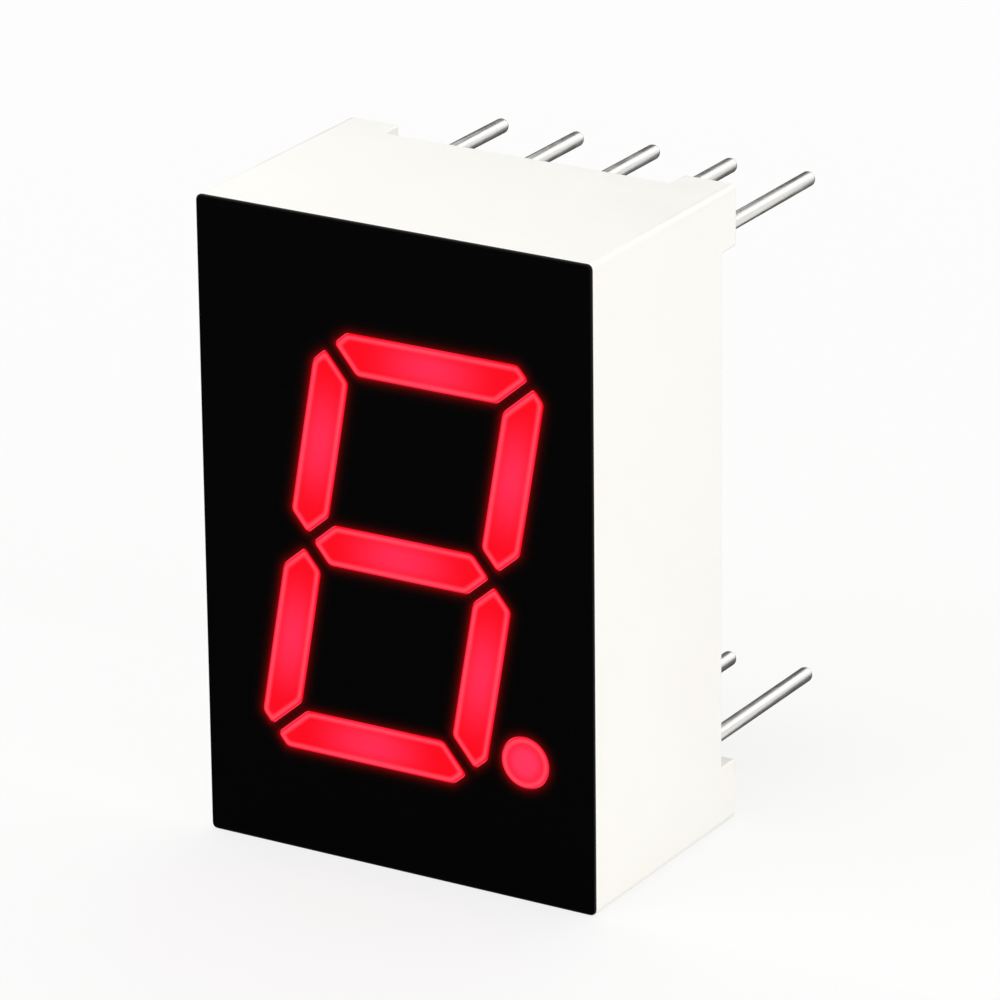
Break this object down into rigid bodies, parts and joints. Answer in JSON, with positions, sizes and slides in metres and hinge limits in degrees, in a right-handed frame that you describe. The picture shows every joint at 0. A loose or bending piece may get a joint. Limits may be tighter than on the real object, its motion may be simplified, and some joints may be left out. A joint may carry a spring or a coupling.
{
  "type": "seven segment display",
  "caption": "Lit red seven segment digit with a decimal point in a white block with a black face and two rows of solder leads.",
  "frame": {"origin": "middle of the ten leads, in the plane where the four feet meet the board", "axes": "+X to the digit's right, +Z to its top, +Y out of the back along the leads, so the lit face looks towards -Y"},
  "size_m": [0.0126, 0.0145, 0.019],
  "materials": {
    "white_plastic": "satin",
    "black_film": "satin",
    "red_resin": "satin",
    "board_laminate": "satin",
    "filling_resin": "gloss",
    "copper": "satin",
    "solder": "satin",
    "tinned_lead": "satin",
    "die_crystal": "satin",
    "gold_wire": "polished"
  },
  "bodies": {
    "root": {"housing": "white_plastic", "face_film": "black_film", "circuit_board": "board_laminate", "rear_filling": "filling_resin", "track_common": "copper", "segment_a": "red_resin", "segment_b": "red_resin", "segment_c": "red_resin", "segment_d": "red_resin", "segment_e": "red_resin", "segment_f": "red_resin", "segment_g": "red_resin", "decimal_point": "red_resin", "track_a": "copper", "track_b": "copper", "track_c": "copper", "track_d": "copper", "track_e": "copper", "track_f": "copper", "track_g": "copper", "track_point": "copper", "die_a": "die_crystal", "die_b": "die_crystal", "die_c": "die_crystal", "die_d": "die_crystal", "die_e": "die_crystal", "die_f": "die_crystal", "die_g": "die_crystal", "die_point": "die_crystal", "bond_wire_a": "gold_wire", "bond_wire_b": "gold_wire", "bond_wire_c": "gold_wire", "bond_wire_d": "gold_wire", "bond_wire_e": "gold_wire", "bond_wire_f": "gold_wire", "bond_wire_g": "gold_wire", "bond_wire_point": "gold_wire", "lead_1": "tinned_lead", "lead_2": "tinned_lead", "lead_3": "tinned_lead", "lead_4": "tinned_lead", "lead_5": "tinned_lead", "lead_6": "tinned_lead", "lead_7": "tinned_lead", "lead_8": "tinned_lead", "lead_9": "tinned_lead", "lead_10": "tinned_lead", "solder_1": "solder", "solder_2": "solder", "solder_3": "solder", "solder_4": "solder", "solder_5": "solder", "solder_6": "solder", "solder_7": "solder", "solder_8": "solder", "solder_9": "solder", "solder_10": "solder"}
  },
  "joints": []
}
